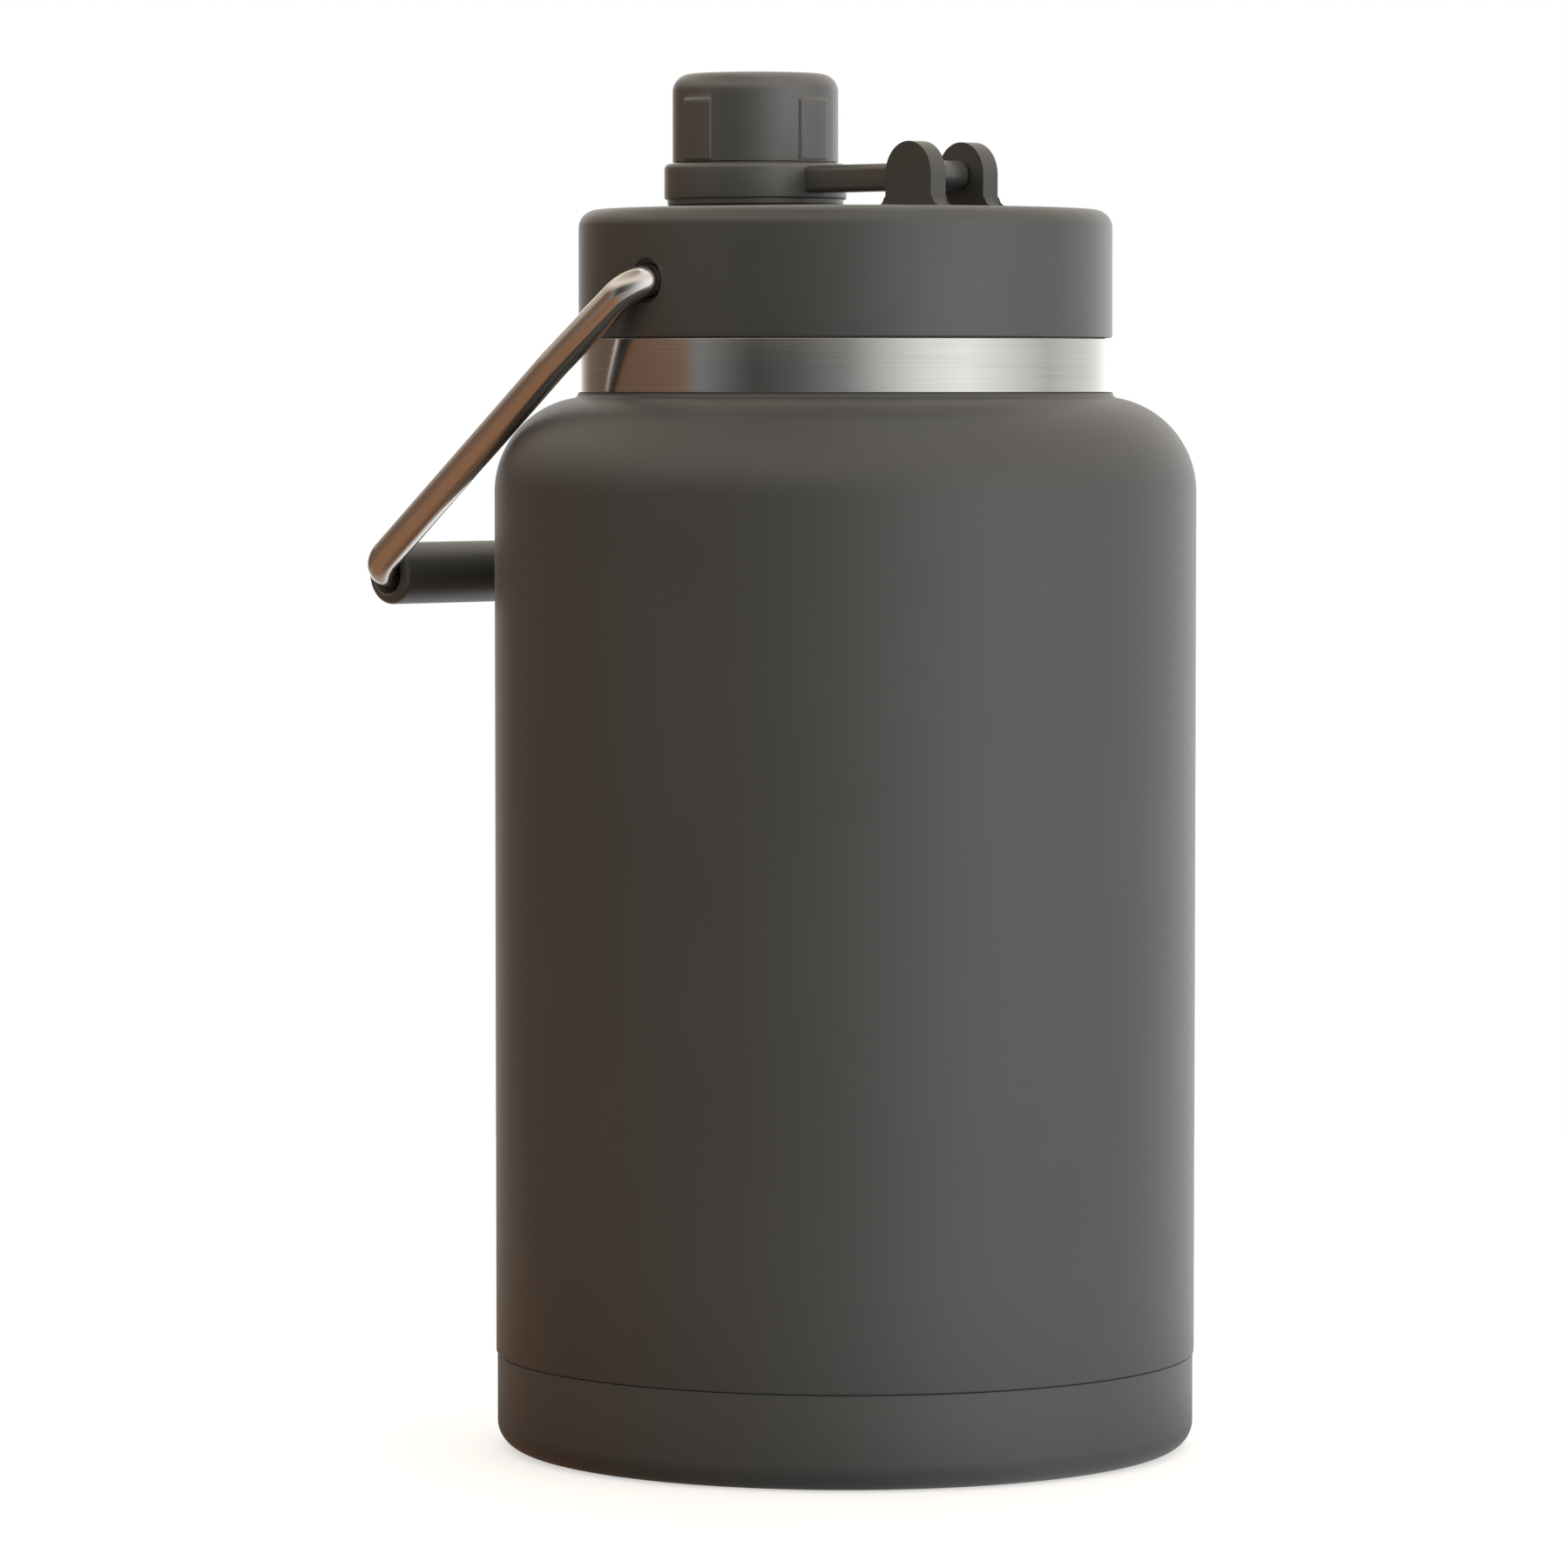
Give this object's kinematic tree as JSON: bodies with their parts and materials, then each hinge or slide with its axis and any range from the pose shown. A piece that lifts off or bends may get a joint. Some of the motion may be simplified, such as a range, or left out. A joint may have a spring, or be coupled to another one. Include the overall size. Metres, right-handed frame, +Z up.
{
  "type": "insulated growler",
  "caption": "Double-wall steel growler with a screw lid, a wire bail handle with a moulded grip, and a pour spout closed by a cap on a hinged strap.",
  "frame": {"origin": "on the vessel's axis, in the plane that it stands on", "axes": "+Z up along the vessel; -X towards the spout and the hanging bail; +X towards the strap's hinge; the bail turns about a line along Y"},
  "size_m": [0.1485, 0.134, 0.2631],
  "materials": {
    "powder_coat": "matte charcoal powder coat with a fine grain",
    "brushed_steel": "brushed round the neck",
    "liner_steel": "satin bare steel",
    "polished_steel": "polished wire",
    "moulded_plastic": "satin moulded plastic",
    "cap_plastic": "satin moulded plastic",
    "grip_plastic": "satin moulded plastic",
    "bush_plastic": "dark moulded plastic",
    "silicone": "matte silicone",
    "foam": "rigid foam",
    "seal_metal": "dull"
  },
  "bodies": {
    "vessel": {"outer_shell": "powder_coat", "neck_band": "brushed_steel", "base_cup": "powder_coat", "base_cover": "powder_coat", "inner_liner": "liner_steel", "inner_base": "liner_steel", "getter": "seal_metal", "vacuum_seal": "seal_metal"},
    "gasket": {"lid_gasket": "silicone"},
    "lid": {"lid_shell": "moulded_plastic", "lid_plug": "moulded_plastic", "lid_foam": "foam", "spout": "moulded_plastic", "spout_seal": "silicone", "pivot_bush_left": "bush_plastic", "pivot_bush_right": "bush_plastic", "hinge_pin": "polished_steel"},
    "handle": {"bail": "polished_steel", "grip": "grip_plastic"},
    "strap": {"strap": "cap_plastic"},
    "cap": {"cap_shell": "cap_plastic", "cap_liner": "cap_plastic", "cap_seal": "silicone"}
  },
  "joints": [
    {"name": "lid_lift", "type": "slide", "parent": "vessel", "child": "gasket", "axis": [0, 0, 1], "range_m": [0, 0.024]},
    {"name": "lid_turn", "type": "hinge", "parent": "gasket", "child": "lid", "pos_m": [0, 0, 0.2122], "axis": [0, 0, 1], "range_deg": [0, 1080]},
    {"name": "handle_swing", "type": "hinge", "parent": "lid", "child": "handle", "pos_m": [0, 0, 0.2227], "axis": [0, 1, 0], "range_deg": [0, 253.2]},
    {"name": "strap_flip", "type": "hinge", "parent": "lid", "child": "strap", "pos_m": [0.0265, 0, 0.2427], "axis": [0, 1, 0], "range_deg": [0, 180]},
    {"name": "cap_turn", "type": "hinge", "parent": "strap", "child": "cap", "pos_m": [-0.0255, 0, 0.242], "axis": [0, 0, 1], "range_deg": [0, 420]}
  ],
  "couplings": [
    {"joint": "lid_lift", "follows": "lid_turn", "m_per_rad": 0.0012732}
  ]
}
